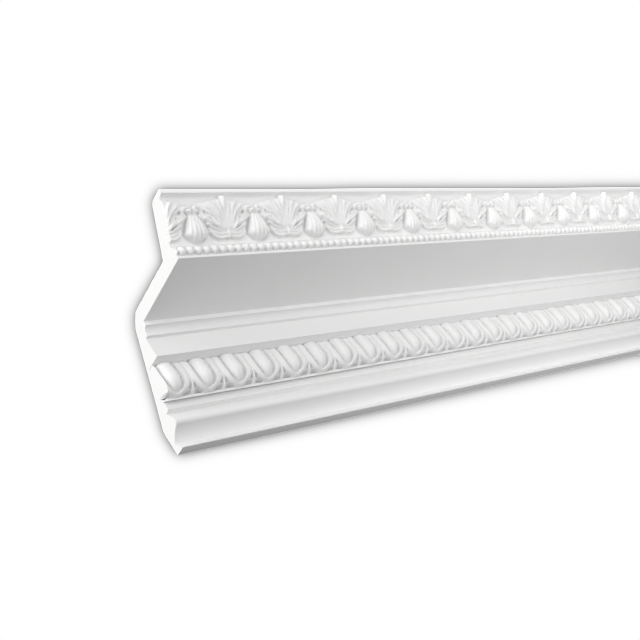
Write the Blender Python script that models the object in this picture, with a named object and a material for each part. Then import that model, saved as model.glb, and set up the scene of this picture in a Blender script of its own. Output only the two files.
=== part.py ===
"""Cornice moulding length: a palmette frieze, a bead row and an egg-and-dart band on one casting.

The moulding is cut square at both ends. X runs along it, Z points up the wall and the front
faces -Y. The origin is in the middle of the strip that is fixed to the wall. Sizes are in metres.
"""

import math

import bmesh
import bpy
from mathutils import Matrix, Vector

# The run
LENGTH = 1.0
WALL_STRIP = 0.0274
CEILING_STRIP = 0.0165

# Heights of the members, from the bottom of the wall strip up to the ceiling
FOOT_HEIGHT = 0.0096
HOLLOW_HEIGHT = 0.0106
NOSE_HEIGHT = 0.0040
ROUND_HEIGHT = 0.0120
STEP_HEIGHT = 0.0013
FILLET_HEIGHT = 0.0089
UNDER_EGG_HEIGHT = 0.0038
EGG_BAND_HEIGHT = 0.0313
BAND_HEIGHT = 0.0229
LISTEL_HEIGHT = 0.0022
CAVETTO_HEIGHT = 0.0061
QUIRK_HEIGHT = 0.0048
BEAD_FILLET_HEIGHT = 0.0029
BEAD_BAND_HEIGHT = 0.0123
FRIEZE_HEIGHT = 0.0387
COVE_HEIGHT = 0.0032
TOP_FILLET_HEIGHT = 0.0054

# How far the members stand out from the wall
FOOT_OUT = 0.0121
WAIST_OUT = 0.0050
UNDER_NOSE_OUT = 0.0205
NOSE_OUT = 0.0234
STEP_OUT = 0.0166
FILLET_OUT = 0.0230
EGG_BED_OUT = 0.0292
EGG_BED_LEAN = 0.0029
BAND_OUT = 0.0498
LISTEL_OUT = 0.0540
CAVETTO_OUT = 0.0603
SOFFIT_OUT = 0.1438
BEAD_BED_DEPTH = 0.0006
LEDGE_OVERHANG = 0.0034
FRIEZE_LEAN = 0.0233
COVE_OUT = 0.0066

# How hollow or round the curved members are, as the height of each arc over its chord
FOOT_HOLLOW = 0.0009
OGEE_HOLLOW = 0.0013
NOSE_ROUND = 0.0008
OGEE_ROUND = 0.0013
EGG_BED_ROUND = 0.0030
CAVETTO_HOLLOW = 0.0016
COVE_HOLLOW = 0.0012

# Walls of the casting, and the corner of its back
SOFFIT_WALL = 0.0149
SOFFIT_BACK_END = 0.0180
BACK_CORNER_OUT = 0.0505
BACK_CORNER_CUT = 0.0060

# Palmette frieze: its repeat, and its first axis from the left end
FRIEZE_PITCH = 0.080
FRIEZE_START = 0.072
PALMETTE_SPREAD = 0.038
PALMETTE_RELIEF = 0.0062
HUSK_HEIGHT = 0.027
HUSK_WIDTH = 0.031
HUSK_NECK = 0.010
HUSK_RELIEF = 0.0072
HUSK_FLUTES = 5

# Egg-and-dart band
EGG_PITCH = 0.040
EGG_START = 0.012
EGG_WIDTH = 0.0195
EGG_HEIGHT = 0.0320
EGG_RELIEF = 0.0108
RIM_GAP = 0.0020
RIM_WIDTH = 0.0068
RIM_RELIEF = 0.0066
RIM_SPREAD = 0.0014
DART_WIDTH = 0.0032
DART_RELIEF = 0.0040

# Bead row
BEAD_PITCH = 0.010
BEAD_START = 0.007
BEAD_DIAMETER = 0.0090
BEAD_RELIEF = 0.0052
BEAD_SINK = 0.0007

# How far each carved form is sunk into its bed
SINK = 0.0020
# How far the run and its carving reach past the cuts before they are made
OVERRUN = 0.020

COLOUR = (0.86, 0.86, 0.855, 1.0)
ROUGHNESS = 0.62


def stack(*heights):
    """The level at the top of each member of a stack."""
    levels = [0.0]
    for height in heights:
        levels.append(levels[-1] + height)
    return levels[1:]


(
    WAIST_UP,
    UNDER_NOSE_UP,
    NOSE_UP,
    STEP_UP,
    FILLET_LOW,
    FILLET_TOP,
    EGG_BED_LOW,
    EGG_BED_TOP,
    BAND_TOP,
    LISTEL_TOP,
    CAVETTO_TOP,
    SOFFIT_UP,
    BEAD_BED_LOW,
    FRIEZE_LOW,
    FRIEZE_TOP,
    COVE_TOP,
    CEILING_UP,
) = stack(
    FOOT_HEIGHT,
    HOLLOW_HEIGHT,
    NOSE_HEIGHT,
    ROUND_HEIGHT,
    STEP_HEIGHT,
    FILLET_HEIGHT,
    UNDER_EGG_HEIGHT,
    EGG_BAND_HEIGHT,
    BAND_HEIGHT,
    LISTEL_HEIGHT,
    CAVETTO_HEIGHT,
    QUIRK_HEIGHT,
    BEAD_FILLET_HEIGHT,
    BEAD_BAND_HEIGHT,
    FRIEZE_HEIGHT,
    COVE_HEIGHT,
    TOP_FILLET_HEIGHT,
)
BEAD_BED_OUT = SOFFIT_OUT - BEAD_BED_DEPTH
FRIEZE_TOP_OUT = BEAD_BED_OUT + FRIEZE_LEAN
PROJECTION = FRIEZE_TOP_OUT + COVE_OUT


def arc(start, end, hollow, steps=4):
    """Points of a round stretch after its start. A positive hollow bends it into the casting."""
    start = Vector(start)
    end = Vector(end)
    chord = end - start
    half_angle = 2 * math.atan(2 * hollow / chord.length)
    radius = chord.length / (2 * math.sin(half_angle))
    along = chord.normalized()
    inward = Vector((-along.y, along.x))
    centre = (start + end) / 2 - inward * radius * math.cos(half_angle)
    turns = [half_angle * (2 * step / steps - 1) for step in range(1, steps + 1)]
    return [centre + radius * (inward * math.cos(turn) + along * math.sin(turn)) for turn in turns]


def front_outline():
    """The front of the profile as (out, up) points, from the foot to the ceiling."""
    foot = (FOOT_OUT, 0.0)
    waist = (WAIST_OUT, WAIST_UP)
    under_nose = (UNDER_NOSE_OUT, UNDER_NOSE_UP)
    nose = (NOSE_OUT, NOSE_UP)
    step = (STEP_OUT, STEP_UP)
    egg_bed_low = (EGG_BED_OUT, EGG_BED_LOW)
    egg_bed_top = (EGG_BED_OUT + EGG_BED_LEAN, EGG_BED_TOP)
    listel_top = (LISTEL_OUT, LISTEL_TOP)
    cavetto_top = (CAVETTO_OUT, CAVETTO_TOP)
    ledge_low = FRIEZE_LOW - LEDGE_OVERHANG
    frieze_top = (FRIEZE_TOP_OUT, FRIEZE_TOP)
    cove_top = (PROJECTION, COVE_TOP)
    points = [(0.0, 0.0), foot]
    points += arc(foot, waist, FOOT_HOLLOW, 2)
    points += arc(waist, under_nose, OGEE_HOLLOW)
    points += arc(under_nose, nose, -NOSE_ROUND, 2)
    points += arc(nose, step, -OGEE_ROUND, 3)
    points += [(FILLET_OUT, FILLET_LOW), (FILLET_OUT, FILLET_TOP), egg_bed_low]
    points += arc(egg_bed_low, egg_bed_top, -EGG_BED_ROUND)
    points += [(BAND_OUT, EGG_BED_TOP), (BAND_OUT, BAND_TOP), (LISTEL_OUT, BAND_TOP), listel_top]
    points += arc(listel_top, cavetto_top, CAVETTO_HOLLOW, 3)
    points += [(CAVETTO_OUT, SOFFIT_UP), (SOFFIT_OUT, SOFFIT_UP), (SOFFIT_OUT, BEAD_BED_LOW)]
    points += [(BEAD_BED_OUT, BEAD_BED_LOW), (BEAD_BED_OUT, ledge_low - LEDGE_OVERHANG / 2)]
    points += [(BEAD_BED_OUT + LEDGE_OVERHANG, ledge_low), (BEAD_BED_OUT, FRIEZE_LOW), frieze_top]
    points += arc(frieze_top, cove_top, COVE_HOLLOW, 2)
    points.append((PROJECTION, CEILING_UP))
    return points


def back_outline():
    """The back of the profile, from the ceiling down to the top of the wall strip."""
    soffit_back = SOFFIT_UP + SOFFIT_WALL
    slope = Vector((BACK_CORNER_OUT, soffit_back - WALL_STRIP)).normalized()
    corner = Vector((BACK_CORNER_OUT, soffit_back))
    return [
        (PROJECTION - CEILING_STRIP, CEILING_UP),
        (SOFFIT_OUT - SOFFIT_BACK_END, soffit_back),
        (BACK_CORNER_OUT + BACK_CORNER_CUT, soffit_back),
        corner - slope * BACK_CORNER_CUT,
        (0.0, WALL_STRIP),
    ]


def world(along, out, up):
    """The place of a point given along the run, out from the wall and up from the foot."""
    return Vector((along, -out, up - WALL_STRIP / 2))


def new_object(name, mesh, collection):
    """An object for the mesh, in the collection."""
    item = bpy.data.objects.new(name, mesh)
    collection.objects.link(item)
    return item


def make_helper(item):
    """Keeps an object that only cuts or joins out of the render."""
    item.hide_render = True
    item.display_type = "WIRE"


def extrude_profile(name, collection):
    """The plain run as a closed mesh, longer than the cut length at both ends."""
    points = front_outline() + back_outline()
    curve = bpy.data.curves.new(name, "CURVE")
    curve.dimensions = "2D"
    curve.fill_mode = "BOTH"
    curve.extrude = LENGTH / 2 + OVERRUN
    line = curve.splines.new("POLY")
    line.points.add(len(points) - 1)
    line.use_cyclic_u = True
    for point, (out, up) in zip(line.points, points):
        point.co = (out, up, 0.0, 1.0)
    flat = new_object(name + "_outline", curve, collection)
    origin = world(0.0, 0.0, 0.0)
    axes = (world(0.0, 1.0, 0.0) - origin, world(0.0, 0.0, 1.0) - origin, Vector((-1.0, 0.0, 0.0)))
    flat.matrix_world = Matrix.Translation(origin) @ Matrix(axes).transposed().to_4x4()
    bpy.context.view_layer.update()
    graph = bpy.context.evaluated_depsgraph_get()
    mesh = bpy.data.meshes.new_from_object(flat.evaluated_get(graph))
    mesh.transform(flat.matrix_world)
    bpy.data.objects.remove(flat)
    shape = bmesh.new()
    shape.from_mesh(mesh)
    bmesh.ops.remove_doubles(shape, verts=shape.verts, dist=1e-6)
    bmesh.ops.recalc_face_normals(shape, faces=shape.faces)
    shape.to_mesh(mesh)
    shape.free()
    return new_object(name, mesh, collection)


class Bed:
    """A bed of carving: v is across it, h is out of it and s is along the run."""

    def __init__(self, foot, top, swell=0.0):
        chord = Vector(top) - Vector(foot)
        self.foot = Vector(foot)
        self.depth = chord.length
        self.across = chord.normalized()
        self.normal = Vector((self.across.y, -self.across.x))
        self.swell = swell

    def place(self, s, v, h):
        """The world place of a point of the bed, which may swell out in its middle."""
        share = v / self.depth
        rise = h + 4 * self.swell * share * (1 - share)
        point = self.foot + self.across * v + self.normal * rise
        return world(s, point.x, point.y)


FRIEZE_BED = Bed((BEAD_BED_OUT, FRIEZE_LOW), (FRIEZE_TOP_OUT, FRIEZE_TOP))
EGG_BED_FOOT = (EGG_BED_OUT, EGG_BED_LOW)
EGG_BED = Bed(EGG_BED_FOOT, (EGG_BED_OUT + EGG_BED_LEAN, EGG_BED_TOP), EGG_BED_ROUND)
BEAD_BED = Bed((BEAD_BED_OUT, BEAD_BED_LOW), (BEAD_BED_OUT, FRIEZE_LOW))


def along_run(start, pitch):
    """The places of a repeat along the run, past both ends so that the cuts pass through it."""
    left_end = -LENGTH / 2
    first = math.floor((-OVERRUN - start) / pitch) + 1
    last = math.ceil((LENGTH + OVERRUN - start) / pitch) - 1
    return [left_end + start + pitch * index for index in range(first, last + 1)]


def bend(points, t):
    """The point at t, from 0 to 1, of the smooth curve that three points guide."""
    first, middle, last = (Vector(point) for point in points)
    return first * (1 - t) ** 2 + middle * 2 * t * (1 - t) + last * t**2


def ridge(route, width, relief, rings=3, taper=1.0):
    """A leaf or scroll that follows a route on its bed, keeled in the middle and tapered at its ends."""
    shape = bmesh.new()
    bmesh.ops.create_uvsphere(shape, u_segments=4, v_segments=rings, radius=1.0)
    for vert in shape.verts:
        t = 1 - math.acos(max(-1.0, min(1.0, vert.co.z))) / math.pi
        girth = max(math.hypot(vert.co.x, vert.co.y), 1e-6)
        fullness = 1 + (girth - 1) * taper
        ahead = (route(min(1.0, t + 0.01)) - route(max(0.0, t - 0.01))).normalized()
        aside = Vector((ahead.y, -ahead.x)) * vert.co.x / girth * fullness * width / 2
        crown = max(0.0, vert.co.y / girth) * fullness
        place = route(t) + aside
        vert.co = (place.x, place.y, crown * (relief + SINK) - SINK - max(0.0, -vert.co.y) * SINK)
    return shape


def settle(shape, bed, flip=1):
    """Puts a form modelled in its bed's own axes in the world, with its faces turned outwards."""
    for vert in shape.verts:
        s, v, h = vert.co
        vert.co = bed.place(s * flip, v, h)
    bmesh.ops.recalc_face_normals(shape, faces=shape.faces)
    mesh = bpy.data.meshes.new("form")
    shape.to_mesh(mesh)
    shape.free()
    return mesh


def repeat(name, mesh, places, collection):
    """One helper object with a copy of the form at each place along the run."""
    shape = bmesh.new()
    for place in places:
        before = len(shape.verts)
        shape.from_mesh(mesh)
        shape.verts.ensure_lookup_table()
        bmesh.ops.translate(shape, verts=shape.verts[before:], vec=(place, 0.0, 0.0))
    copies = bpy.data.meshes.new(name)
    shape.to_mesh(copies)
    shape.free()
    bpy.data.meshes.remove(mesh)
    item = new_object(name, copies, collection)
    make_helper(item)
    return item


def carve_palmettes(collection):
    """The palmettes: a keel, ribs that fan out, curled outer lobes, side leaves and a base scroll."""
    places = along_run(FRIEZE_START, FRIEZE_PITCH)
    leaves = {
        "inner_rib": (((0.02, 0.30), (0.14, 0.62), (0.24, 0.94)), 0.25, 0.85),
        "middle_rib": (((0.03, 0.30), (0.30, 0.58), (0.52, 0.90)), 0.25, 0.85),
        "outer_rib": (((0.06, 0.32), (0.42, 0.50), (0.74, 0.82)), 0.22, 0.80),
        "curled_lobe": (((0.35, 0.86), (1.00, 1.02), (0.98, 0.60)), 0.20, 0.80),
        "side_leaf": (((0.14, 0.26), (0.48, 0.26), (0.74, 0.46)), 0.22, 0.70),
        "base_scroll": (((0.00, 0.16), (0.30, -0.02), (0.46, 0.20)), 0.12, 0.60),
    }
    keel = ((0.0, 0.24), (0.0, 0.60), (0.0, 1.0))
    make_leaf("keel", keel, 0.26, 1.0, places, collection)
    for name, (guide, width, height) in leaves.items():
        for side, flip in (("right", 1), ("left", -1)):
            make_leaf(f"{name}_{side}", guide, width, height, places, collection, flip)


def make_leaf(name, guide, width, height, places, collection, flip=1):
    """One leaf of the palmette at each of its places. Its guide is in shares of the palmette."""
    points = [(s * PALMETTE_SPREAD, v * FRIEZE_BED.depth) for s, v in guide]
    leaf = ridge(lambda t: bend(points, t), width * PALMETTE_SPREAD, height * PALMETTE_RELIEF)
    repeat(name, settle(leaf, FRIEZE_BED, flip), places, collection)


def carve_husks(collection):
    """The fluted husks that hang between the palmettes."""
    shape = bmesh.new()
    points = 4 * HUSK_FLUTES
    bmesh.ops.create_cone(
        shape, cap_ends=True, segments=points, radius1=1.0, radius2=1.0, depth=1.0
    )
    for vert in shape.verts:
        turn = math.atan2(vert.co.y, vert.co.x)
        at_top = vert.co.z > 0
        half_width = (HUSK_NECK if at_top else HUSK_WIDTH) / 2
        flute = 1.0 + 0.07 * math.cos(2 * HUSK_FLUTES * turn)
        relief = HUSK_RELIEF * (0.62 if at_top else 1.0) * flute
        s = vert.co.x * half_width * flute
        v = HUSK_HEIGHT if at_top else abs(vert.co.x) ** 2 * HUSK_WIDTH * 0.16
        h = vert.co.y * relief if vert.co.y > 0.01 else -SINK
        vert.co = (s, v, h)
    places = along_run(FRIEZE_START - FRIEZE_PITCH / 2, FRIEZE_PITCH)
    repeat("husks", settle(shape, FRIEZE_BED), places, collection)


def carve_eggs(collection):
    """The eggs, the shell round each one, and the darts between the shells."""
    places = along_run(EGG_START, EGG_PITCH)
    shape = bmesh.new()
    bmesh.ops.create_uvsphere(shape, u_segments=8, v_segments=5, radius=1.0)
    top = EGG_BAND_HEIGHT
    middle = top - EGG_HEIGHT * 0.42
    for vert in shape.verts:
        narrow = 1.0 + 0.14 * vert.co.z
        vert.co = (
            vert.co.x * EGG_WIDTH / 2 * narrow,
            middle + vert.co.z * EGG_HEIGHT / 2,
            vert.co.y * EGG_RELIEF if vert.co.y > 0.01 else -SINK,
        )
    repeat("eggs", settle(shape, EGG_BED), places, collection)
    reach = EGG_WIDTH / 2 + RIM_GAP + RIM_WIDTH / 2
    drop = EGG_BAND_HEIGHT - RIM_WIDTH / 2

    def shell(t):
        turn = math.pi * t
        depth = math.sin(turn) ** 0.75
        return Vector((-(reach + RIM_SPREAD * (1 - depth)) * math.cos(turn), top + SINK - (drop + SINK) * depth))

    rim = ridge(shell, RIM_WIDTH, RIM_RELIEF, rings=8, taper=0.0)
    repeat("shells", settle(rim, EGG_BED), places, collection)
    guide = ((0.0, top * 0.8), (0.0, top * 0.4), (0.0, 0.0))
    dart = ridge(lambda t: bend(guide, t), DART_WIDTH, DART_RELIEF, rings=3, taper=0.5)
    between = along_run(EGG_START - EGG_PITCH / 2, EGG_PITCH)
    repeat("darts", settle(dart, EGG_BED), between, collection)


def carve_beads(collection):
    """The beads under the frieze, each a little less than its pitch across."""
    shape = bmesh.new()
    bmesh.ops.create_uvsphere(shape, u_segments=5, v_segments=4, radius=1.0)
    radius = BEAD_DIAMETER / 2
    for vert in shape.verts:
        lift = vert.co.z * (BEAD_RELIEF + BEAD_SINK) - BEAD_SINK
        vert.co = (vert.co.x * radius, radius + vert.co.y * radius, lift)
    places = along_run(BEAD_START, BEAD_PITCH)
    repeat("beads", settle(shape, BEAD_BED), places, collection)


def primer(name):
    """The matt white primer of the casting."""
    material = bpy.data.materials.new(name)
    material.use_nodes = True
    shader = material.node_tree.nodes["Principled BSDF"]
    shader.inputs["Base Color"].default_value = COLOUR
    shader.inputs["Roughness"].default_value = ROUGHNESS
    shader.inputs["Metallic"].default_value = 0.0
    return material


def add_boolean(item, name, operation):
    """A Boolean on the item with the exact solver."""
    modifier = item.modifiers.new(name, "BOOLEAN")
    modifier.operation = operation
    modifier.solver = "EXACT"
    return modifier


def cut_ends(item, collection):
    """Cuts the run square at both ends."""
    bpy.ops.mesh.primitive_cube_add(size=1.0)
    keep = bpy.context.active_object
    keep.name = "kept_length"
    for holder in list(keep.users_collection):
        holder.objects.unlink(keep)
    collection.objects.link(keep)
    room = PROJECTION + CEILING_UP
    keep.scale = (LENGTH, 2 * room, 2 * room)
    make_helper(keep)
    cut = add_boolean(item, "square ends", "INTERSECT")
    cut.object = keep


def new_collection(name):
    """A collection under the scene's own."""
    collection = bpy.data.collections.new(name)
    bpy.context.scene.collection.children.link(collection)
    return collection


def main():
    """Builds the moulding from an empty scene."""
    for item in list(bpy.data.objects):
        bpy.data.objects.remove(item)
    part = new_collection("cornice moulding length")
    carving = new_collection("carving")
    cutters = new_collection("cutters")
    cornice = extrude_profile("cornice", part)
    cornice.data.materials.append(primer("white primer"))
    carve_palmettes(carving)
    carve_husks(carving)
    carve_eggs(carving)
    carve_beads(carving)
    joined = add_boolean(cornice, "carving", "UNION")
    joined.operand_type = "COLLECTION"
    joined.collection = carving
    cut_ends(cornice, cutters)


main()
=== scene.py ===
"""Looks of a white cornice moulding length: palmette frieze, bead row and egg-and-dart band.

X runs along the moulding, Z points up the wall and the front faces -Y. The section and the
studio are in metres. The carving is laid out in millimetres on its beds.
"""

import logging
import math
from dataclasses import dataclass
from enum import Enum

import bmesh
import bpy
import numpy as np
from mathutils import Matrix, Vector

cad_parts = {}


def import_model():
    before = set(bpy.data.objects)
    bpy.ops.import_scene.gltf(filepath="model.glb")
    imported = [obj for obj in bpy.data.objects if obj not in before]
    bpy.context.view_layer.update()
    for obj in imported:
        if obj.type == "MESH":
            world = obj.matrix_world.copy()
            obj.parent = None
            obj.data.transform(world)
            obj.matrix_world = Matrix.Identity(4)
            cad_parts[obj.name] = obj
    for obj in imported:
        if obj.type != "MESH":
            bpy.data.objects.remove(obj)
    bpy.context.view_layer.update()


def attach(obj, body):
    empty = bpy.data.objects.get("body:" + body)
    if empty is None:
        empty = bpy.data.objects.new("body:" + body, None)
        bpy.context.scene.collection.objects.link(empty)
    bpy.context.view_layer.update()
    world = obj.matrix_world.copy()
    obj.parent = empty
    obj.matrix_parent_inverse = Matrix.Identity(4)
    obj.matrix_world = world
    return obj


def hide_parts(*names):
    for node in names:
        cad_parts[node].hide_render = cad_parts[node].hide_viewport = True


LOG = logging.getLogger("cornice")
MM = 0.001
NODE = "cornice"
PIECE_INDEX = 1
# Vertex layer with how deep each point of the carving lies below its surroundings; the primer paints shade
# there.
HOLLOW_SHADE = "hollow"
SLOPE_POWER = 1.3
STEPS_PER_SPAN = 6
THINNEST = 0.05
FAR = 1e9

Point = tuple[float, float]
Field = np.ndarray


class Section(Enum):
    """How a carved stroke is shaped across its width."""

    ROUND = "round"
    KEEL = "keel"
    LAPPED = "lapped"


def ramp(value: Field, low: float, high: float) -> Field:
    """A smooth rise from 0 at low to 1 at high."""
    share = np.clip((value - low) / (high - low), 0.0, 1.0)
    return share * share * (3.0 - 2.0 * share)


def blend_up(first: Field, second: Field, softness: float) -> Field:
    """The higher of two fields, with the crease between them softened.

    Args:
        first: one height field.
        second: the other height field.
        softness: how far the crease is filled, in the fields' own unit.

    Returns:
        The joined height field.
    """
    overlap = np.clip(softness - np.abs(first - second), 0.0, None) / softness
    return np.maximum(first, second) + overlap * overlap * softness / 4.0


def through(guide: tuple[Point, ...], steps: int) -> Field:
    """Points of the smooth line that passes through a guide.

    Args:
        guide: the points that the line passes through.
        steps: how many parts each span of the guide is split in.

    Returns:
        The points of the line, one row each.
    """
    knots = np.array([guide[0], *guide, guide[-1]], float)
    points = []
    for index in range(1, len(knots) - 2):
        before, start, end, after = knots[index - 1 : index + 3]
        for step in range(steps):
            t = step / steps
            points.append(
                start
                + 0.5 * t * (end - before)
                + t * t * (before - 2.5 * start + 2 * end - 0.5 * after)
                + 0.5 * t**3 * (3 * start - 3 * end + after - before)
            )
    points.append(knots[-2])
    return np.array(points)


@dataclass(frozen=True)
class Stroke:
    """A leaf, rib or scroll that follows a guide on its bed, in millimetres.

    Its width and its height are given at the start, the middle and the end of the guide.
    """

    guide: tuple[Point, ...]
    widths: tuple[float, float, float]
    heights: tuple[float, float, float]
    section: Section = Section.ROUND
    lap: float = 0.4

    def trace(self, along: Field, across: Field) -> tuple[Field, Field]:
        """Finds where on the guide each point of the bed lies.

        Args:
            along: each point's place along the run.
            across: each point's place up the bed.

        Returns:
            The share of the guide at its nearest place, and the distance from it, which
            is below 0 on the guide's right.
        """
        line = through(self.guide, STEPS_PER_SPAN)
        spans = len(line) - 1
        nearest = np.full(along.shape, FAR)
        share = np.zeros(along.shape)
        side = np.ones(along.shape)
        for index in range(spans):
            start = line[index]
            step = line[index + 1] - start
            x = along - start[0]
            y = across - start[1]
            t = np.clip((x * step[0] + y * step[1]) / (step @ step), 0.0, 1.0)
            gap = np.hypot(x - t * step[0], y - t * step[1])
            closer = gap < nearest
            nearest = np.where(closer, gap, nearest)
            share = np.where(closer, (index + t) / spans, share)
            side = np.where(closer, np.sign(step[0] * y - step[1] * x), side)
        return share, nearest * side

    def relief(self, along: Field, across: Field) -> Field:
        """How high the stroke stands at each point of its bed, and 0 past its edges."""
        share, gap = self.trace(along, across)
        places = (0.0, 0.5, 1.0)
        half_width = np.interp(share, places, self.widths) / 2.0
        height = np.interp(share, places, self.heights)
        if self.section is Section.LAPPED:
            half_width = np.where(gap < 0.0, half_width * self.lap, half_width)
        off = np.clip(np.abs(gap) / np.maximum(half_width, THINNEST), 0.0, 1.0)
        match self.section:
            case Section.ROUND:
                shape = np.sqrt(1.0 - off * off)
            case Section.KEEL:
                shape = 1.0 - off**SLOPE_POWER
            case Section.LAPPED:
                shape = (1.0 - off) ** SLOPE_POWER
        return height * shape


@dataclass(frozen=True)
class Hollow:
    """A pocket that is sunk to one level in a carved bed, in millimetres."""

    centre: Point
    radii: Point
    level: float
    turn: float = 0.0
    wall: tuple[float, float] = (0.62, 1.15)

    def sink(self, along: Field, across: Field, height: Field) -> Field:
        """The height field with the pocket sunk in it."""
        x = along - self.centre[0]
        y = across - self.centre[1]
        lean = math.radians(self.turn)
        u = (x * math.cos(lean) + y * math.sin(lean)) / self.radii[0]
        w = (y * math.cos(lean) - x * math.sin(lean)) / self.radii[1]
        inside = 1.0 - ramp(np.hypot(u, w), *self.wall)
        return height + (np.minimum(height, self.level) - height) * inside


@dataclass(frozen=True)
class Profile:
    """The moulding's section: how far out from the wall and how far up from the foot."""

    length: float = 1.0
    wall_strip: float = 0.0274
    foot: Point = (0.0121, 0.0)
    waist: Point = (0.0050, 0.0096)
    under_nose: Point = (0.0205, 0.0202)
    nose: Point = (0.0234, 0.0242)
    step: Point = (0.0166, 0.0362)
    fillet_low: Point = (0.0230, 0.0375)
    fillet_top: Point = (0.0230, 0.0464)
    egg_low: Point = (0.0292, 0.0502)
    egg_top: Point = (0.0321, 0.0815)
    band_low: Point = (0.0498, 0.0815)
    band_top: Point = (0.0498, 0.1044)
    listel_low: Point = (0.0540, 0.1044)
    listel_top: Point = (0.0540, 0.1066)
    cavetto_top: Point = (0.0603, 0.1127)
    quirk_top: Point = (0.0603, 0.1175)
    soffit_edge: Point = (0.1438, 0.1175)
    bead_fillet: Point = (0.1438, 0.1204)
    bead_low: Point = (0.1432, 0.1204)
    frieze_low: Point = (0.1432, 0.1327)
    frieze_top: Point = (0.1665, 0.1714)
    cove_top: Point = (0.1731, 0.1746)
    ceiling: Point = (0.1731, 0.1800)
    back: tuple[Point, ...] = (
        (0.1566, 0.1800),
        (0.1258, 0.1324),
        (0.0565, 0.1324),
        (0.0466, 0.1241),
        (0.0, 0.0274),
    )
    egg_back: tuple[Point, Point] = ((0.0210, 0.0485), (0.0290, 0.0812))
    bead_back: tuple[Point, Point] = ((0.1400, 0.1206), (0.1400, 0.1345))
    frieze_back: tuple[Point, Point] = ((0.1400, 0.1345), (0.1685, 0.1764))

    def place(self, along: float, out: float, up: float) -> Vector:
        """The world place of a point along the run, out from the wall and up from the foot."""
        return Vector((along, -out, up - self.wall_strip / 2))

    def arc(self, start: Point, end: Point, hollow: float, steps: int) -> list[Point]:
        """Points of a round stretch after its start.

        Args:
            start: where the stretch starts.
            end: where it ends.
            hollow: how far it bends into the casting, or out of it where negative.
            steps: how many straight parts it has.

        Returns:
            The points as out and up.
        """
        first = Vector(start)
        chord = Vector(end) - first
        half_angle = 2 * math.atan(2 * hollow / chord.length)
        radius = chord.length / (2 * math.sin(half_angle))
        along = chord.normalized()
        inward = Vector((-along.y, along.x))
        centre = first + chord / 2 - inward * radius * math.cos(half_angle)
        turns = [half_angle * (2 * step / steps - 1) for step in range(1, steps + 1)]
        return [tuple(centre + radius * (inward * math.cos(t) + along * math.sin(t))) for t in turns]

    def front(self) -> list[Point]:
        """The front of the section, from the foot to the ceiling, with its beds rebated."""
        points = [(0.0, 0.0), self.foot]
        points += self.arc(self.foot, self.waist, 0.0009, 6)
        points += self.arc(self.waist, self.under_nose, 0.0013, 12)
        points += self.arc(self.under_nose, self.nose, -0.0008, 8)
        points += self.arc(self.nose, self.step, -0.0013, 10)
        points += [self.fillet_low, self.fillet_top, *self.egg_back, self.egg_top]
        points += [self.band_low, self.band_top, self.listel_low, self.listel_top]
        points += self.arc(self.listel_top, self.cavetto_top, 0.0016, 10)
        points += [self.quirk_top, self.soffit_edge, self.bead_fillet, self.bead_low]
        points += [*self.bead_back, self.frieze_back[1], self.cove_top, self.ceiling]
        return points

    def eased(self) -> dict[Point, float]:
        """The corners that the mould leaves slightly round, with their radii."""
        return {
            self.foot: 0.0006,
            self.fillet_low: 0.0005,
            self.band_low: 0.0004,
            self.band_top: 0.0005,
            self.listel_low: 0.0003,
            self.listel_top: 0.0003,
            self.quirk_top: 0.0005,
            self.soffit_edge: 0.0006,
            self.cove_top: 0.0004,
            self.ceiling: 0.0006,
        }


PROFILE = Profile()


@dataclass(frozen=True)
class Bed:
    """A bed of carving: v is up its chord and h is out of it, both in millimetres.

    The slab that fills it reaches from its own foot to its own head and back to two corners.
    """

    low: Point
    top: Point
    foot: float
    head: float
    back: tuple[Point, Point]

    def place(self, s: Field, v: Field, h: Field) -> Field:
        """The world places of points of the bed.

        Args:
            s: their places along the run.
            v: their places up the chord.
            h: how far they stand out of the chord.

        Returns:
            One row of three coordinates for each point, in metres.
        """
        across = (Vector(self.top) - Vector(self.low)).normalized()
        out = self.low[0] + (across.x * v + across.y * h) * MM
        up = self.low[1] + (across.y * v - across.x * h) * MM
        return np.stack((s * MM, -out, up - PROFILE.wall_strip / 2), axis=-1)

    def behind(self, s: Field, share: Field) -> Field:
        """The world places of points of the slab's flat back, by their share of its height."""
        low, top = (np.array(corner) for corner in self.back)
        spots = low + (top - low) * share[:, None]
        return np.stack((s * MM, -spots[:, 0], spots[:, 1] - PROFILE.wall_strip / 2), axis=-1)


class FinishKind(Enum):
    """The surfaces of the casting."""

    PRIMED = 0
    SAWN = 1


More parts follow.
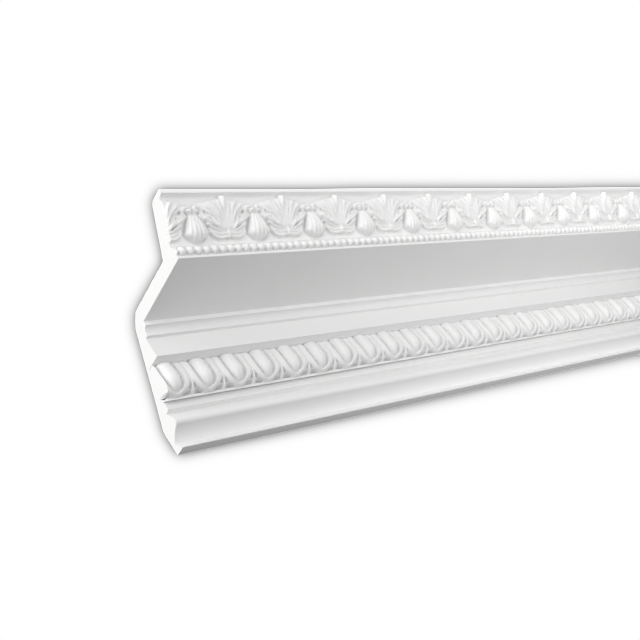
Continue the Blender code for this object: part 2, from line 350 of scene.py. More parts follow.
@dataclass(frozen=True)
class Finish:
    """A surface of the casting: its colour, and how fine and how deep its unevenness is."""

    name: str
    light: tuple[float, float, float]
    shade: tuple[float, float, float]
    roughness: float
    cloud_scale: float
    grain_scale: float
    grain_depth: float
    specular: float = 0.35
    bump_strength: float = 0.5

    def material(self, group: bpy.types.NodeTree) -> bpy.types.Material:
        """The finish as a material.

        Args:
            group: the node group that gives the unevenness of the surface, its colour and the painted shade
                in its hollows.

        Returns:
            The new material.
        """
        material = bpy.data.materials.new(self.name)
        material.use_nodes = True
        tree = material.node_tree
        shader = tree.nodes["Principled BSDF"]
        shader.inputs["Specular IOR Level"].default_value = self.specular
        coordinates = tree.nodes.new("ShaderNodeTexCoord")
        skin = tree.nodes.new("ShaderNodeGroup")
        skin.node_tree = group
        skin.inputs["Cloud scale"].default_value = self.cloud_scale
        skin.inputs["Grain scale"].default_value = self.grain_scale
        skin.inputs["Light"].default_value = (*self.light, 1.0)
        skin.inputs["Shade"].default_value = (*self.shade, 1.0)
        skin.inputs["Roughness"].default_value = self.roughness
        bump = tree.nodes.new("ShaderNodeBump")
        bump.inputs["Strength"].default_value = self.bump_strength
        bump.inputs["Distance"].default_value = self.grain_depth
        # The hollow layer drives the painted shade in the group's colour.
        hollow = tree.nodes.new("ShaderNodeAttribute")
        hollow.attribute_name = HOLLOW_SHADE
        tree.links.new(hollow.outputs["Fac"], skin.inputs["Hollow"])
        tree.links.new(coordinates.outputs["Object"], skin.inputs["Place"])
        tree.links.new(skin.outputs["Colour"], shader.inputs["Base Color"])
        tree.links.new(skin.outputs["Roughness"], shader.inputs["Roughness"])
        tree.links.new(skin.outputs["Height"], bump.inputs["Height"])
        tree.links.new(bump.outputs["Normal"], shader.inputs["Normal"])
        return material


PRIMED = Finish(
    name="white_primer",
    light=(0.90, 0.90, 0.897),
    shade=(0.87, 0.87, 0.866),
    roughness=0.58,
    cloud_scale=14.0,
    grain_scale=420.0,
    grain_depth=0.00012,
)
SAWN = Finish(
    name="sawn_end",
    light=(0.90, 0.90, 0.893),
    shade=(0.86, 0.86, 0.852),
    roughness=0.75,
    cloud_scale=30.0,
    grain_scale=900.0,
    grain_depth=0.00020,
)


class SkinGroup:
    """The node group that both finishes share: soft clouds, a fine grain and painted shade that darkens the
    hollows.
    """

    CLOUD_DETAIL = 3.0
    GRAIN_DETAIL = 2.0
    HOLLOW_SHADE_DARKNESS = 0.26
    CLOUD_ROUGHNESS = 0.10
    INPUTS = (
        ("Place", "NodeSocketVector"),
        # The Hollow input carries the vertex layer that drives the painted shade.
        ("Hollow", "NodeSocketFloat"),
        ("Cloud scale", "NodeSocketFloat"),
        ("Grain scale", "NodeSocketFloat"),
        ("Light", "NodeSocketColor"),
        ("Shade", "NodeSocketColor"),
        ("Roughness", "NodeSocketFloat"),
    )
    OUTPUTS = (
        ("Colour", "NodeSocketColor"),
        ("Roughness", "NodeSocketFloat"),
        ("Height", "NodeSocketFloat"),
    )

    def build(self) -> bpy.types.NodeTree:
        """Makes the group with its named inputs and outputs."""
        tree = bpy.data.node_groups.new("primer_skin", "ShaderNodeTree")
        for name, kind in self.INPUTS:
            tree.interface.new_socket(name, in_out="INPUT", socket_type=kind)
        for name, kind in self.OUTPUTS:
            tree.interface.new_socket(name, in_out="OUTPUT", socket_type=kind)
        given = tree.nodes.new("NodeGroupInput")
        result = tree.nodes.new("NodeGroupOutput")
        clouds = self.noise(tree, given, "Cloud scale", self.CLOUD_DETAIL)
        grain = self.noise(tree, given, "Grain scale", self.GRAIN_DETAIL)
        tone = tree.nodes.new("ShaderNodeMix")
        tone.data_type = "RGBA"
        tree.links.new(clouds.outputs["Fac"], tone.inputs["Factor"])
        tree.links.new(given.outputs["Light"], tone.inputs["A"])
        tree.links.new(given.outputs["Shade"], tone.inputs["B"])
        # Painted shade: the colour is mixed toward black by the hollow layer, up to the darkness given.
        depth = tree.nodes.new("ShaderNodeMath")
        depth.operation = "MULTIPLY"
        depth.inputs[1].default_value = self.HOLLOW_SHADE_DARKNESS
        depth.use_clamp = True
        tree.links.new(given.outputs["Hollow"], depth.inputs[0])
        shaded = tree.nodes.new("ShaderNodeMix")
        shaded.data_type = "RGBA"
        shaded.inputs["B"].default_value = (0.0, 0.0, 0.0, 1.0)
        tree.links.new(depth.outputs["Value"], shaded.inputs["Factor"])
        tree.links.new(tone.outputs["Result"], shaded.inputs["A"])
        sheen = tree.nodes.new("ShaderNodeMath")
        sheen.operation = "MULTIPLY_ADD"
        sheen.inputs[1].default_value = self.CLOUD_ROUGHNESS
        tree.links.new(clouds.outputs["Fac"], sheen.inputs[0])
        tree.links.new(given.outputs["Roughness"], sheen.inputs[2])
        tree.links.new(shaded.outputs["Result"], result.inputs["Colour"])
        tree.links.new(sheen.outputs["Value"], result.inputs["Roughness"])
        tree.links.new(grain.outputs["Fac"], result.inputs["Height"])
        return tree

    def noise(
        self, tree: bpy.types.NodeTree, given: bpy.types.Node, scale: str, detail: float
    ) -> bpy.types.Node:
        """A noise texture of the group, at the scale that one of its inputs gives."""
        noise = tree.nodes.new("ShaderNodeTexNoise")
        noise.inputs["Detail"].default_value = detail
        tree.links.new(given.outputs["Place"], noise.inputs["Vector"])
        tree.links.new(given.outputs[scale], noise.inputs["Scale"])
        return noise


class Dresser:
    """Holds the casting's materials and puts finished pieces on its body."""

    END_ROOM = 0.5 * MM
    SQUARE = 0.99

    def __init__(self) -> None:
        """Makes the two materials."""
        group = SkinGroup().build()
        self.materials = [PRIMED.material(group), SAWN.material(group)]

    def dress(self, name: str, shape: bmesh.types.BMesh, sharp: float) -> None:
        """Makes a shape a piece of the cornice, with primed faces and sawn ends.

        Args:
            name: the piece's name.
            shape: the finished shape, which is freed.
            sharp: the angle in degrees past which an edge stays crisp.
        """
        end = PROFILE.length / 2 - self.END_ROOM
        bmesh.ops.recalc_face_normals(shape, faces=shape.faces)
        for face in shape.faces:
            face.smooth = True
            if abs(face.normal.x) > self.SQUARE and abs(face.calc_center_median().x) > end:
                face.material_index = FinishKind.SAWN.value
        mesh = bpy.data.meshes.new(name)
        shape.to_mesh(mesh)
        shape.free()
        mesh.set_sharp_from_angle(angle=math.radians(sharp))
        for material in self.materials:
            mesh.materials.append(material)
        piece = bpy.data.objects.new(name, mesh)
        piece.pass_index = PIECE_INDEX
        bpy.context.scene.collection.objects.link(piece)
        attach(piece, "root")
        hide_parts(NODE)
        mesh.calc_loop_triangles()
        LOG.info("%s: %d triangles", name, len(mesh.loop_triangles))


class PlainRun:
    """The plain members of the moulding, from end to end."""

    SHARP = 30.0
    EASE_STEPS = 3
    SAME_PLACE = 1e-6

    def build(self) -> bmesh.types.BMesh:
        """Draws the section as one face, eases its corners and extrudes it along the run."""
        shape = bmesh.new()
        outline = [*PROFILE.front(), *PROFILE.back]
        left = -PROFILE.length / 2
        corners = [shape.verts.new(PROFILE.place(left, *point)) for point in outline]
        shape.faces.new(corners)
        for point, radius in PROFILE.eased().items():
            self.ease(shape, PROFILE.place(left, *point), radius)
        shape.faces.ensure_lookup_table()
        grown = bmesh.ops.extrude_face_region(shape, geom=list(shape.faces))
        moved = [item for item in grown["geom"] if isinstance(item, bmesh.types.BMVert)]
        bmesh.ops.translate(shape, verts=moved, vec=(PROFILE.length, 0.0, 0.0))
        return shape

    def ease(self, shape: bmesh.types.BMesh, corner: Vector, radius: float) -> None:
        """Rounds the section's corner at that place."""
        found = [vert for vert in shape.verts if (vert.co - corner).length < self.SAME_PLACE]
        bmesh.ops.bevel(
            shape,
            geom=found,
            offset=radius,
            offset_type="OFFSET",
            affect="VERTICES",
            segments=self.EASE_STEPS,
            profile=0.5,
            material=-1,
        )


class CarvedBand:
    """A band of carving: a slab let into the run's rebate, its front raised in code."""

    SHARP = 75.0
    name: str
    bed: Bed
    pitch: float
    start: float
    columns: int
    rows: int
    # Size of the neighbourhood in grid steps, and the depth in millimetres that gives the full painted
    # shade.
    reach = 4
    full_shade_depth = 2.5

    def relief(self, aside: Field, v: Field) -> Field:
        """How high the carving stands.

        Args:
            aside: each point's distance from the nearest axis of the repeat.
            v: each point's place up the bed.

        Returns:
            The height of each point over the bed's chord.
        """
        raise NotImplementedError

    def build(self) -> bmesh.types.BMesh:
        """Raises the front of the slab from a grid, then closes its sides and its back."""
        shape = bmesh.new()
        shape.verts.layers.float.new(HOLLOW_SHADE)
        repeats = PROFILE.length / (self.pitch * MM)
        bmesh.ops.create_grid(
            shape, x_segments=round(self.columns * repeats), y_segments=self.rows, size=0.5
        )
        front = list(shape.verts)
        shares = np.array([vert.co for vert in front])
        s = shares[:, 0] * PROFILE.length / MM
        v = self.bed.foot + (shares[:, 1] + 0.5) * (self.bed.head - self.bed.foot)
        phase = s + 0.5 * PROFILE.length / MM - self.start
        aside = np.abs((phase + self.pitch / 2) % self.pitch - self.pitch / 2)
        rim = [edge for edge in shape.edges if edge.is_boundary]
        grown = bmesh.ops.extrude_edge_only(shape, edges=rim)["geom"]
        back = [item for item in grown if isinstance(item, bmesh.types.BMVert)]
        flat = np.array([vert.co for vert in back])
        height = self.repeated(aside, v)
        self.mark_hollow_shade(shape, front, shares, height)
        self.move(front, self.bed.place(s, v, height))
        self.move(back, self.bed.behind(flat[:, 0] * PROFILE.length / MM, flat[:, 1] + 0.5))
        loop = [item for item in grown if isinstance(item, bmesh.types.BMEdge)]
        bmesh.ops.edgeloop_fill(shape, edges=[edge for edge in loop if edge.is_boundary])
        return shape

    def repeated(self, aside: Field, v: Field) -> Field:
        """The relief at each point, worked out once for the points that the repeats share."""
        asides, column = np.unique(aside.round(4), return_inverse=True)
        levels, row = np.unique(v.round(4), return_inverse=True)
        return self.relief(*np.meshgrid(asides, levels))[row, column]

    def mark_hollow_shade(
        self, shape: bmesh.types.BMesh, verts: list[bmesh.types.BMVert], shares: Field, height: Field
    ) -> None:
        """Keeps on each vertex how far it lies below the carving round it, as a share, which the material
        turns into painted shade in the hollows.

        Args:
            shape: the slab.
            verts: the vertices of its front.
            shares: the place of each in the grid.
            height: the height of each over the bed.
        """
        _, column = np.unique(shares[:, 0].round(6), return_inverse=True)
        _, row = np.unique(shares[:, 1].round(6), return_inverse=True)
        level = np.zeros((column.max() + 1, row.max() + 1))
        level[column, row] = height
        reach = self.reach
        padded = np.pad(level, reach, mode="edge")
        around = np.zeros(level.shape)
        steps = range(0, 2 * reach + 1, max(1, reach // 2))
        for i in steps:
            for j in steps:
                around += padded[i : i + level.shape[0], j : j + level.shape[1]]
        around /= len(steps) ** 2
        share = np.clip((around - level) / self.full_shade_depth, 0.0, 1.0)
        layer = shape.verts.layers.float[HOLLOW_SHADE]
        for vert, value in zip(verts, share[column, row].tolist()):
            vert[layer] = value

    def move(self, verts: list[bmesh.types.BMVert], places: Field) -> None:
        """Puts each vertex at its place."""
        for vert, place in zip(verts, places.tolist()):
            vert.co = place


class PalmetteFrieze(CarvedBand):
    """Palmettes with curled outer lobes, and a fluted husk between one and the next."""

    name = "palmette_frieze"
    bed = Bed(PROFILE.frieze_low, PROFILE.frieze_top, 0.0, 51.32, PROFILE.frieze_back)
    pitch = 80.0
    start = 72.0
    columns = 112
    rows = 66

    softness = 0.4
    fade = (0.0, 2.0)
    foot_fade = (0.0, 0.8)
    cove_foot = 45.17
    cove_rise = 4.0
    cove_sag = 1.2
    outline: tuple[Point, ...] = (
        (0, 46.6), (3, 46.0), (7, 45.6), (9.6, 44.6), (14, 44.4), (19, 43.6), (21, 42.6),
        (26, 42.3), (30, 41.2), (33, 40.8), (36.3, 39.4), (38.6, 37.0), (40, 35.0),
    )
    body_low: tuple[Point, ...] = (
        (0, 11.6), (8, 12.0), (14, 13.6), (20, 15.6), (24, 18.0), (27.5, 21.6), (31, 25), (40, 27.4),
    )
    fan_edge = (-0.9, 2.4)
    fan_foot = (-1.4, 5.0)
    fan_rim = 2.2
    fan_rises = ((0.0, 9.0), (8.0, 22.0))
    fan_rise = 0.7
    fan_spread = 38.0
    scroll_low: tuple[Point, ...] = ((0, 6.4), (10, 5.6), (15, 6.2), (20, 9.6), (23, 13.4), (26, 18))
    scroll_foot = (-0.4, 0.8)
    scroll_height = 2.9
    scroll_end = 24.0
    scroll_top = 30.0
    ribs = (
        Stroke(
            ((3.2, 25), (4.4, 31), (5.6, 38), (6.2, 45)), (2.4, 5.2, 6), (0.1, 2.6, 1.6), Section.LAPPED
        ),
        Stroke(
            ((5.6, 22), (8.0, 29), (11.0, 36), (17.2, 43)), (2.4, 6, 8), (0.1, 3.0, 1.8), Section.LAPPED
        ),
        Stroke(
            ((7.4, 20), (9.8, 26), (14.4, 32), (22.4, 37.4)), (2.4, 7, 8), (0.2, 2.8, 2.0), Section.LAPPED
        ),
    )
    crest = Stroke(((0, 30), (0, 35), (0, 40), (0, 46.4)), (2.0, 14.0, 6.0), (4.0, 5.8, 7.4), Section.KEEL)
    curls = (
        Stroke(
            ((24.6, 27), (26.8, 30.5), (28.6, 34.4), (32.4, 36.8), (36.4, 37.0)),
            (3.4, 3.6, 3),
            (4.0, 4.6, 5.2),
        ),
        Stroke(((36.0, 37.6), (37.6, 35.0), (37.4, 32.0)), (3.2, 3.2, 2.4), (5.2, 5.4, 4.8)),
        Stroke(((34.4, 33.2), (35.6, 33.4)), (4.0, 4.2, 4.0), (5.6, 5.8, 5.6)),
    )
    side_leaves = (
        Stroke(((7.4, 15.0), (9.6, 17.2), (12.6, 20.4), (15.2, 25)), (2.8, 5.4, 1.6), (4.6, 6.6, 4.8)),
        Stroke(((13.8, 19.6), (18, 21.4), (22, 23.2), (26.4, 25.8)), (3.4, 4.2, 2.6), (4.6, 6.0, 5.8)),
        Stroke(((15.4, 21.4), (18.2, 24.6), (19.8, 28.6)), (2.8, 2.8, 1.2), (4.6, 5.6, 4.8)),
        Stroke(((19.4, 23.2), (21.6, 26.2), (22.8, 29.8)), (2.6, 2.6, 1.2), (4.6, 5.6, 4.8)),
        Stroke(((22.6, 24.6), (24.4, 26.8), (25.8, 29.6)), (2.4, 2.4, 1.2), (4.8, 5.6, 5.0)),
        Stroke(
            ((8.4, 13.0), (12, 14.2), (16, 16.0), (20.4, 17.8), (24.4, 20.4)),
            (2.6, 3.6, 2.4),
            (4.2, 5.6, 5.2),
        ),
    )
    scrolls = (
        Stroke(
            ((0, 7.2), (5, 6.8), (10, 6.3), (14, 6.6), (18, 8.2), (22, 12.2)),
            (2.6, 2.6, 2.2),
            (4.2, 4.4, 4.0),
        ),
        Stroke(((0, 10.4), (4, 10.2), (8, 9.9), (12, 9.8), (16.4, 11.4)), (2.2, 2.2, 2.6), (4.4, 4.4, 4.6)),
        Stroke(((0, 6.8), (0, 10.6), (0, 15.4)), (3.4, 4.4, 1.6), (5.4, 6.6, 4.4)),
    )
    grooves = (
        Stroke(((16.4, 28.6), (19.6, 29.8), (23, 31)), (2.4, 3.0, 3.0), (0.8, 1.4, 2.0)),
        Stroke(((32.6, 30.8), (34.6, 29.5), (37.0, 29.4)), (1.8, 1.5, 0.8), (3.0, 1.8, 0.4)),
        Stroke(((27.0, 38.6), (30.4, 39.0), (34.0, 38.6)), (1.4, 1.8, 1.2), (0.6, 1.4, 0.6)),
        Stroke(((10.2, 22.0), (13.4, 26.4), (16.6, 30.0)), (1.8, 2.0, 1.6), (1.0, 1.6, 1.0)),
        Stroke(((12.2, 15.6), (15, 17.8), (19, 19.6)), (1.4, 1.8, 1.2), (1.6, 2.6, 1.4)),
    )
    groove_floor = 0.6
    hollows = (
        Hollow((25.2, 32.0), (1.9, 2.1), 0.5),
        Hollow((31.9, 31.9), (1.3, 1.8), 1.2),
        Hollow((27.0, 22.2), (3.0, 1.5), 0.6, 16.0),
        Hollow((18.6, 26.2), (0.8, 1.3), 2.4),
        Hollow((40.0, 33.0), (0.9, 3.4), 1.6),
    )
    husk_edge: tuple[Point, ...] = (
        (0, 14.0), (9, 14.0), (11, 13.7), (14, 12.6), (18, 10.8), (22, 9.0), (27, 6.4), (29, 5.6),
    )
    husk_height: tuple[Point, ...] = (
        (0, 2.2), (3, 5.0), (6, 7.6), (9, 9.2), (12, 9.9), (16, 9.5), (20, 8.4), (26, 6.2), (30, 4.6),
    )
    husk_foot = 1.2
    husk_corner = (14.0, 8.0)
    husk_foot_rise = (-0.4, 3.4)
    husk_head = 31.0
    husk_flutes = 5
    husk_round = 4
    flute_depth = 1.7
    flute_crowding = 0.9
    flute_sharpness = 0.6

    def relief(self, aside: Field, v: Field) -> Field:
        """The palmette with its leaves and pockets, the husk beside it and the cove over them."""
        height = np.maximum(self.fan(aside, v), self.scroll_ground(aside, v))
        for leaf in (self.crest, *self.curls, *self.side_leaves, *self.scrolls):
            height = blend_up(height, leaf.relief(aside, v), self.softness)
        for groove in self.grooves:
            height = np.maximum(height - groove.relief(aside, v), np.minimum(height, self.groove_floor))
        for hollow in self.hollows:
            height = hollow.sink(aside, v, height)
        height = blend_up(height, self.husk(self.pitch / 2 - aside, v), self.softness)
        share = np.clip((v - self.cove_foot) / (self.bed.head - self.cove_foot), 0.0, 1.0)
        cove = self.cove_rise * share - 4.0 * self.cove_sag * share * (1.0 - share)
        return np.maximum(height * ramp(v, *self.foot_fade) * ramp(self.bed.head - v, *self.fade), cove)

    def scroll_ground(self, aside: Field, v: Field) -> Field:
        """The low ground that the base scroll stands on."""
        foot = ramp(v - np.interp(aside, *zip(*self.scroll_low)), *self.scroll_foot)
        inside = foot * ramp(self.scroll_end - aside, *self.fade)
        return self.scroll_height * inside * ramp(self.scroll_top - v, *self.fade)

    def fan(self, aside: Field, v: Field) -> Field:
        """The shell-like fan, thin at its edge, with ribs that lap over one another."""
        top = np.interp(aside, *zip(*self.outline))
        low = np.interp(aside, *zip(*self.body_low))
        inside = ramp(top - v, *self.fan_edge) * ramp(v - low, *self.fan_foot)
        floor = self.fan_rim
        for rise in self.fan_rises:
            floor = floor + self.fan_rise * ramp(top - v, *rise)
        floor = floor + self.fan_rise * (1.0 - (aside / self.fan_spread) ** 2)
        ribs = np.zeros(v.shape)
        for rib in self.ribs:
            ribs = np.maximum(ribs, rib.relief(aside, v))
        return inside * (floor + ribs)

    def husk(self, aside: Field, v: Field) -> Field:
        """The husk, which stands further out as it flares down, and has round flutes."""
        half_width = np.interp(v, *zip(*self.husk_edge))
        share = np.clip(aside / half_width, 0.0, 1.0)
        corner_aside, corner_rise = self.husk_corner
        foot = self.husk_foot + corner_rise * (aside / corner_aside) ** 2
        inside = ramp(v - foot, *self.husk_foot_rise) * ramp(self.husk_head - v, *self.fade)
        body = np.interp(v, *zip(*self.husk_height))
        turn = math.pi * self.husk_flutes / 2 * share**self.flute_crowding
        flute = 1.0 - np.abs(np.cos(turn)) ** self.flute_sharpness
        return inside * (body - self.flute_depth * flute) * np.sqrt(1.0 - share**self.husk_round)


class EggBand(CarvedBand):
    """Eggs in their shells on a round bed, with a dart between one shell and the next."""

    name = "egg_and_dart_band"
    bed = Bed(PROFILE.egg_low, PROFILE.egg_top, -7.21, 31.43, PROFILE.egg_back)
    pitch = 40.0
    start = 12.0
    columns = 56
    rows = 50

    crest: tuple[Point, ...] = (
        (-5.0, -1.6), (-4.5, 1.2), (-3.8, 3.2), (-2.6, 5.0), (-1.2, 6.6), (0.6, 8.0), (3.3, 9.4),
        (7, 10.4), (11, 10.6), (17.7, 9.6), (26.0, 8.3), (28.2, 7.8), (31.43, 5.8),
    )
    egg_centre = 16.0
    egg_half_width = 8.5
    egg_down = 17.2
    egg_up = 30.0
    egg_power = 2.2
    egg_round = 2.6
    egg_rise = 3.4
    shell_centre = 12.0
    shell_half_width = 20.3
    shell_down = 16.8
    shell_fade = (-0.2, 0.4)
    groove_width = 1.6
    groove_growth = 1.7
    groove_span = (-3.0, 8.0)
    shell_depth = 2.0
    shell_growth = 1.4
    shell_span = (-3.0, 6.0)
    rim_low = 0.3
    rim_lean = 0.6
    rim_foot = (0.5, 1.0)
    narrowest = 0.1
    slope_rise = 2.1
    slope_start = 3.33
    sill_height = 6.0
    sill_fall = (0.4, 1.8)
    flat_height = 1.5
    dart_top = 14.0
    dart_foot = (-3.8, -2.8)
    dart_width = 0.6
    dart_growth = 0.16
    dart_growth_top = 12.0
    dart_drop = 0.6
    dart_fall = 5.0
    thinnest = 0.01

    def relief(self, aside: Field, v: Field) -> Field:
        """The egg, the shell round it, half a dart on each side and the ground under them."""
        crest = np.interp(v, *zip(*self.crest))
        swell, gap = self.egg(aside, v)
        edge = self.shell_edge(aside, v)
        groove = self.groove_width + self.groove_growth * ramp(v, *self.groove_span)
        depth = self.shell_depth + self.shell_growth * ramp(v, *self.shell_span)
        share = (gap - groove) / np.maximum(gap - groove + edge, self.narrowest)
        lean = np.clip(share, 0.0, 1.0) ** self.rim_lean
        dome = np.sqrt(np.clip(1.0 - (2.0 * lean - 1.0) ** 2, 0.0, 1.0))
        foot = self.rim_low * ramp(gap / groove, *self.rim_foot)
        rim = np.where(gap > groove, self.rim_low + (1.0 - self.rim_low) * dome, foot)
        shell = crest - depth * (1.0 - rim) + (self.egg_rise + depth) * swell
        between = np.maximum(self.ground(v), self.dart(self.pitch / 2 - aside, v, crest))
        return between + (shell - between) * ramp(edge, *self.shell_fade)

    def egg(self, aside: Field, v: Field) -> tuple[Field, Field]:
        """How far the egg stands out, as a share, and how far each point is past its edge."""
        half_height = np.where(v < self.egg_centre, self.egg_down, self.egg_up)
        power = self.egg_power
        across = aside / self.egg_half_width
        along = np.abs(v - self.egg_centre) / half_height
        share = np.maximum((across**power + along**power) ** (1.0 / power), self.thinnest)
        lean = power - 1.0
        slope = np.hypot(across**lean / self.egg_half_width, along**lean / half_height) / share**lean
        gap = (share - 1.0) / np.maximum(slope, self.thinnest)
        return np.sqrt(np.clip(1.0 - share**self.egg_round, 0.0, 1.0)), gap

    def shell_edge(self, aside: Field, v: Field) -> Field:
        """How far each point is inside the outer edge of the shell, which is a tall U."""
        across = aside / self.shell_half_width
        along = np.clip(self.shell_centre - v, 0.0, None) / self.shell_down
        share = np.maximum(np.hypot(across, along), self.thinnest)
        slope = np.hypot(across / self.shell_half_width, along / self.shell_down) / share
        return (1.0 - share) / np.maximum(slope, self.thinnest)

    def ground(self, v: Field) -> Field:
        """The plain bed: a slope up from the fillet to a low sill, then a flat behind it."""
        slope = np.minimum(self.slope_rise * v + self.slope_start, self.sill_height)
        return slope + (self.flat_height - slope) * ramp(v, *self.sill_fall)

    def dart(self, aside: Field, v: Field, crest: Field) -> Field:
        """The dart, a keel that widens down to its foot, at the level of the shells."""
        half_width = self.dart_width + self.dart_growth * np.clip(self.dart_growth_top - v, 0.0, None)
        keel = crest - self.dart_drop - self.dart_fall * np.clip(aside / half_width, 0.0, 2.0) ** 2
        return np.where(v < self.dart_top, keel * ramp(v, *self.dart_foot), 0.0)


class BeadRow(CarvedBand):
    """The beads under the frieze, and the sloped ledge over them."""

    name = "bead_row"
    bed = Bed(PROFILE.bead_low, PROFILE.frieze_low, 0.0, 12.3, PROFILE.bead_back)
    pitch = 10.0
    start = 7.0
    columns = 20
    rows = 28

    radius = 4.5
    centre = 4.6
    lift = 1.3
    foot_fade = (-0.1, 0.2)
    ledge: tuple[Point, ...] = ((0.0, 0.0), (7.4, 0.0), (8.7, 3.2), (9.1, 3.3), (12.3, 0.0))

    def relief(self, aside: Field, v: Field) -> Field:
        """Round beads that run up under the ledge."""
        across = v - self.centre
        ball = self.lift + np.sqrt(np.clip(self.radius**2 - aside**2 - across**2, 0.0, None))
        ball = np.where(aside**2 + across**2 < self.radius**2, ball, 0.0)
        ledge = np.interp(v, *zip(*self.ledge))
        return np.maximum(ball, ledge) * ramp(v, *self.foot_fade)


@dataclass(frozen=True)
class Glow:
    """A soft light that the surround sends from one side; a higher tightness makes it narrower."""

    side: tuple[float, float, float]
    strength: float
    tightness: float = 1.0

    def add(
        self, tree: bpy.types.NodeTree, direction: bpy.types.NodeSocket, total: bpy.types.NodeSocket | None
    ) -> bpy.types.NodeSocket:
        """Adds the glow to the surround's strength.

        Args:
            tree: the surround's nodes.
            direction: the socket with the direction that is looked in.
            total: the strength of the glows before it, or None for the first.

        Returns:
            The socket with the strength of all the glows so far.
        """
        facing = tree.nodes.new("ShaderNodeVectorMath")
        facing.operation = "DOT_PRODUCT"
        facing.inputs[1].default_value = Vector(self.side).normalized()
        tree.links.new(direction, facing.inputs[0])
        lit = self.step(tree, "MAXIMUM", facing.outputs["Value"], 0.0)
        lit = self.step(tree, "POWER", lit, self.tightness)
        lit = self.step(tree, "MULTIPLY", lit, self.strength)
        return lit if total is None else self.step(tree, "ADD", lit, total)

    def step(
        self, tree: bpy.types.NodeTree, operation: str, value: bpy.types.NodeSocket, other: object
    ) -> bpy.types.NodeSocket:
        """One sum on the way, with a number or another socket."""
        node = tree.nodes.new("ShaderNodeMath")
        node.operation = operation
        tree.links.new(value, node.inputs[0])
        if isinstance(other, bpy.types.NodeSocket):
            tree.links.new(other, node.inputs[1])
        else:
            node.inputs[1].default_value = other
        return node.outputs["Value"]


@dataclass(frozen=True)
class Lamp:
    """A soft square lamp that looks at a place on the moulding."""

    name: str
    place: tuple[float, float, float]
    target: tuple[float, float, float]
    size: float
    power: float

    def build(self) -> None:
        """Hangs the lamp in the studio, turned to its target."""
        light = bpy.data.lights.new(self.name, "AREA")
        light.size = self.size
        light.energy = self.power
        lamp = bpy.data.objects.new(self.name, light)
        lamp.location = self.place
        view = Vector(self.target) - lamp.location
        lamp.rotation_euler = view.to_track_quat("-Z", "Y").to_euler()
        bpy.context.scene.collection.objects.link(lamp)


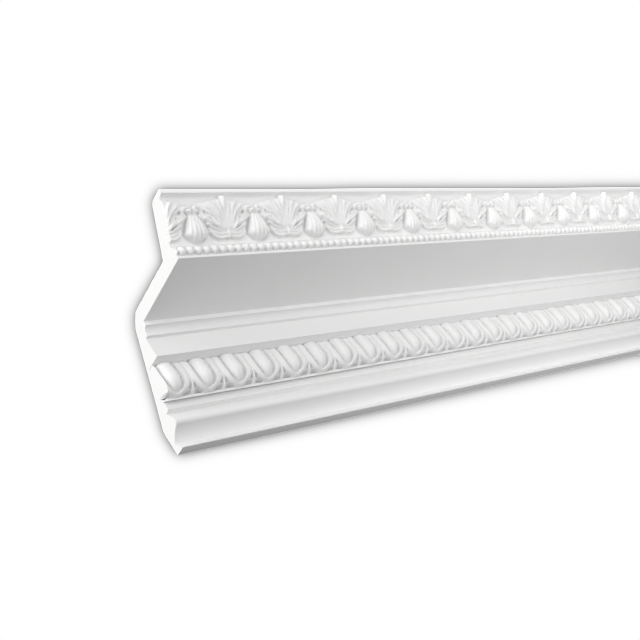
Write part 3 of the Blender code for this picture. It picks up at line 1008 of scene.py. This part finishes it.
class Studio:
    """The camera, the lights, the white surround, the pale floor and the shade on the picture."""

    WHITE = (1.0, 1.0, 1.0, 1.0)
    BLACK = (0.0, 0.0, 0.0, 1.0)
    FLOOR_GREY = (0.8, 0.8, 0.8, 1.0)
    SENSOR_WIDTH = 36.0
    LENS = 63.2546
    CAMERA_PLACE = (-1.15092, -0.72591, -0.46298)
    CAMERA_RIGHT = (0.69503438, -0.47155695, -0.54273498)
    CAMERA_UP = (0.0863239, -0.69467883, 0.71412149)
    glows = (
        Glow((0.0, 0.0, 1.0), 1.15),
        Glow((0.0, 0.0, -1.0), 0.24),
        Glow((-0.9, -0.35, 0.25), 3.9, 14.0),
        Glow((-0.95, -0.2, -0.1), 1.3, 14.0),
    )
    lamps = (
        Lamp("low_front", (0.2, -0.9, -0.5), (0.2, -0.1, 0.1), 0.6, 6.2),
        Lamp("left_end", (-1.2, 0.1, 0.3), (-0.5, -0.1, 0.1), 0.6, 1.1),
        Lamp("near_front", (-0.7, -0.9, 0.07), (-0.35, -0.05, 0.07), 0.3, 1.7),
    )
    floor_up = -0.62
    floor_reach = 6.0
    halo_reach = 17
    halo_strength = 1.15

    def build(self) -> None:
        """Sets the whole studio up."""
        self.camera()
        for lamp in self.lamps:
            lamp.build()
        self.sky()
        self.floor()
        self.halo()
        bpy.context.scene.view_settings.view_transform = "Standard"

    def camera(self) -> None:
        """The camera, below the moulding and to its left, turned with the picture."""
        lens = bpy.data.cameras.new("camera")
        lens.sensor_width = self.SENSOR_WIDTH
        lens.lens = self.LENS
        camera = bpy.data.objects.new("camera", lens)
        right = Vector(self.CAMERA_RIGHT)
        up = Vector(self.CAMERA_UP)
        back = right.cross(up)
        turn = Matrix((right, up, back)).transposed().to_4x4()
        camera.matrix_world = Matrix.Translation(self.CAMERA_PLACE) @ turn
        bpy.context.scene.collection.objects.link(camera)
        bpy.context.scene.camera = camera

    def sky(self) -> None:
        """A white surround, which lights the moulding with soft glows from chosen sides."""
        world = bpy.data.worlds.new("surround")
        world.use_nodes = True
        bpy.context.scene.world = world
        tree = world.node_tree
        tree.nodes.clear()
        out = tree.nodes.new("ShaderNodeOutputWorld")
        seen = tree.nodes.new("ShaderNodeBackground")
        seen.inputs["Strength"].default_value = 1.0
        lit = tree.nodes.new("ShaderNodeBackground")
        direction = tree.nodes.new("ShaderNodeTexCoord")
        total = None
        for glow in self.glows:
            total = glow.add(tree, direction.outputs["Generated"], total)
        mix = tree.nodes.new("ShaderNodeMixShader")
        path = tree.nodes.new("ShaderNodeLightPath")
        for background in (seen, lit):
            background.inputs["Color"].default_value = self.WHITE
        tree.links.new(total, lit.inputs["Strength"])
        tree.links.new(path.outputs["Is Camera Ray"], mix.inputs["Fac"])
        tree.links.new(lit.outputs["Background"], mix.inputs[1])
        tree.links.new(seen.outputs["Background"], mix.inputs[2])
        tree.links.new(mix.outputs["Shader"], out.inputs["Surface"])

    def floor(self) -> None:
        """The pale floor, far below the moulding."""
        shape = bmesh.new()
        bmesh.ops.create_grid(shape, x_segments=1, y_segments=1, size=self.floor_reach)
        bmesh.ops.translate(shape, verts=shape.verts, vec=(0.0, 0.0, self.floor_up))
        mesh = bpy.data.meshes.new("floor")
        shape.to_mesh(mesh)
        shape.free()
        material = bpy.data.materials.new("pale_floor")
        material.use_nodes = True
        shader = material.node_tree.nodes["Principled BSDF"]
        shader.inputs["Base Color"].default_value = self.BLACK
        shader.inputs["Specular IOR Level"].default_value = 0.0
        shader.inputs["Emission Color"].default_value = self.FLOOR_GREY
        shader.inputs["Emission Strength"].default_value = 1.0
        mesh.materials.append(material)
        floor = bpy.data.objects.new("floor", mesh)
        bpy.context.scene.collection.objects.link(floor)
        floor.visible_diffuse = False
        floor.visible_glossy = False
        floor.visible_shadow = False


    def halo(self) -> None:
        """A soft grey shade on the white that lies next to the moulding's outline."""
        bpy.context.scene.render.engine = "CYCLES"
        bpy.context.view_layer.use_pass_object_index = True
        bpy.context.scene.use_nodes = True
        tree = bpy.context.scene.node_tree
        tree.nodes.clear()
        picture = tree.nodes.new("CompositorNodeRLayers")
        mask = tree.nodes.new("CompositorNodeIDMask")
        mask.index = PIECE_INDEX
        mask.use_antialiasing = True
        blur = tree.nodes.new("CompositorNodeBlur")
        blur.filter_type = "GAUSS"
        blur.size_x = self.halo_reach
        blur.size_y = self.halo_reach
        outside = tree.nodes.new("CompositorNodeMath")
        outside.operation = "SUBTRACT"
        outside.inputs[0].default_value = 1.0
        near = tree.nodes.new("CompositorNodeMath")
        near.operation = "MULTIPLY"
        near.use_clamp = True
        gain = tree.nodes.new("CompositorNodeMath")
        gain.operation = "MULTIPLY"
        gain.inputs[1].default_value = self.halo_strength
        shade = tree.nodes.new("CompositorNodeMixRGB")
        shade.inputs[2].default_value = self.BLACK
        out = tree.nodes.new("CompositorNodeComposite")
        tree.links.new(picture.outputs["IndexOB"], mask.inputs["ID value"])
        tree.links.new(mask.outputs["Alpha"], blur.inputs["Image"])
        tree.links.new(mask.outputs["Alpha"], outside.inputs[1])
        tree.links.new(outside.outputs["Value"], near.inputs[0])
        tree.links.new(blur.outputs["Image"], gain.inputs[0])
        tree.links.new(gain.outputs["Value"], near.inputs[1])
        tree.links.new(near.outputs["Value"], shade.inputs["Fac"])
        tree.links.new(picture.outputs["Image"], shade.inputs[1])
        tree.links.new(shade.outputs["Image"], out.inputs["Image"])


def main() -> None:
    """Builds the cornice on its frame, then the studio round it."""
    logging.basicConfig(level=logging.INFO, format="%(name)s: %(message)s")
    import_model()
    dresser = Dresser()
    dresser.dress("plain_run", PlainRun().build(), PlainRun.SHARP)
    for band in (PalmetteFrieze(), BeadRow(), EggBand()):
        dresser.dress(band.name, band.build(), band.SHARP)
    Studio().build()


if __name__ == "__main__":
    main()
